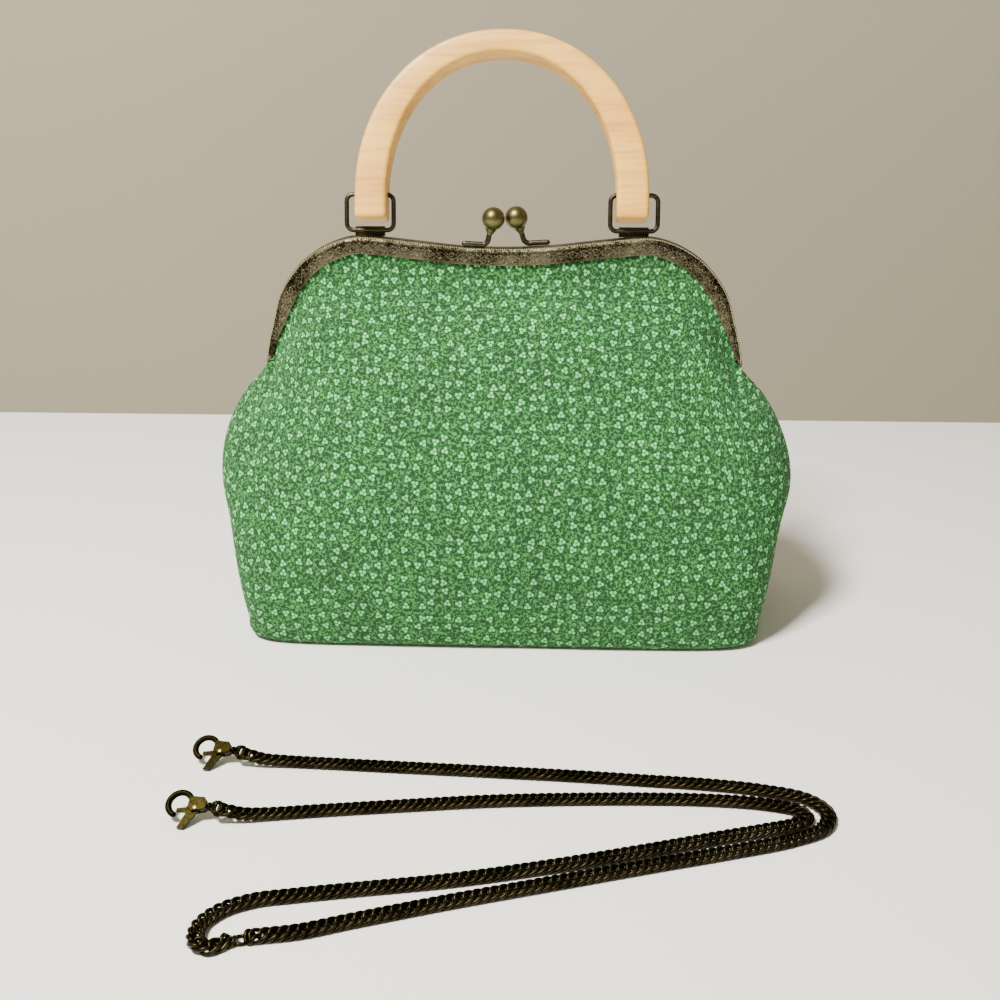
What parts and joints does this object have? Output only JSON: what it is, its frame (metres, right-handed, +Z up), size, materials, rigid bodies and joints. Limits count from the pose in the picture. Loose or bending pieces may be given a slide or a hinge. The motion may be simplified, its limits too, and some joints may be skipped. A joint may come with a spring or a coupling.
{
  "type": "frame handbag",
  "caption": "Kiss-lock frame handbag with a soft printed body, an arched wooden handle on wire rings, and a detachable curb chain strap with trigger hooks lying in front.",
  "frame": {"origin": "middle of the bag's base, on the surface it stands on", "axes": "+Z up, -Y towards the viewer with the chain strap in front, +X to the right"},
  "size_m": [0.3233, 0.3907, 0.3256],
  "materials": {
    "printed_fabric": "matt woven cotton, green with a small pale leaf print",
    "antique_bronze": "dark antique bronze plating, rubbed bright on raised edges",
    "aged_brass": "polished aged brass",
    "pale_wood": "smooth sanded pale wood, unvarnished",
    "chain_metal": "dark antique bronze plating"
  },
  "bodies": {
    "bag": {"fabric_body": "printed_fabric", "frame_front": "antique_bronze", "frame_back": "antique_bronze", "hinge_rivet_left": "antique_bronze", "hinge_rivet_right": "antique_bronze", "clasp_front": "aged_brass", "clasp_back": "aged_brass", "lug_left": "antique_bronze", "lug_right": "antique_bronze", "chain_long": "chain_metal", "chain_short": "chain_metal", "jump_ring": "chain_metal", "hook_a_swivel": "aged_brass", "hook_b_swivel": "aged_brass"},
    "rings": {"ring_left": "antique_bronze", "ring_right": "antique_bronze"},
    "handle": {"handle": "pale_wood"},
    "hook_a": {"hook_a_body": "aged_brass", "hook_a_rivet": "aged_brass"},
    "hook_a_gate": {"hook_a_gate": "aged_brass"},
    "hook_b": {"hook_b_body": "aged_brass", "hook_b_rivet": "aged_brass"},
    "hook_b_gate": {"hook_b_gate": "aged_brass"}
  },
  "joints": [
    {"name": "ring_swing", "type": "hinge", "parent": "bag", "child": "rings", "pos_m": [0, 0.0029, 0.2214], "axis": [1, 0, 0], "range_deg": [-80, 60]},
    {"name": "handle_swing", "type": "hinge", "parent": "rings", "child": "handle", "pos_m": [0, 0.00673, 0.24022], "axis": [1, 0, 0], "range_deg": [-55, 100]},
    {"name": "hook_a_turn", "type": "hinge", "parent": "bag", "child": "hook_a", "pos_m": [-0.1184, -0.1895, 0.00675], "axis": [0.9903, -0.1392, 0], "continuous": true},
    {"name": "hook_a_gate_pivot", "type": "hinge", "parent": "hook_a", "child": "hook_a_gate", "pos_m": [-0.12334, -0.19016, 0.00588], "axis": [-0.0758, -0.5393, 0.8387], "range_deg": [-20, 0], "stiffness_Nm_per_rad": 0.01, "springref_deg": 17.19},
    {"name": "hook_b_turn", "type": "hinge", "parent": "bag", "child": "hook_b", "pos_m": [-0.1173, -0.2349, 0.00675], "axis": [0.9945, -0.1045, 0], "continuous": true},
    {"name": "hook_b_gate_pivot", "type": "hinge", "parent": "hook_b", "child": "hook_b_gate", "pos_m": [-0.12221, -0.23573, 0.00588], "axis": [-0.0569, -0.5417, 0.8387], "range_deg": [-20, 0], "stiffness_Nm_per_rad": 0.01, "springref_deg": 17.19}
  ]
}
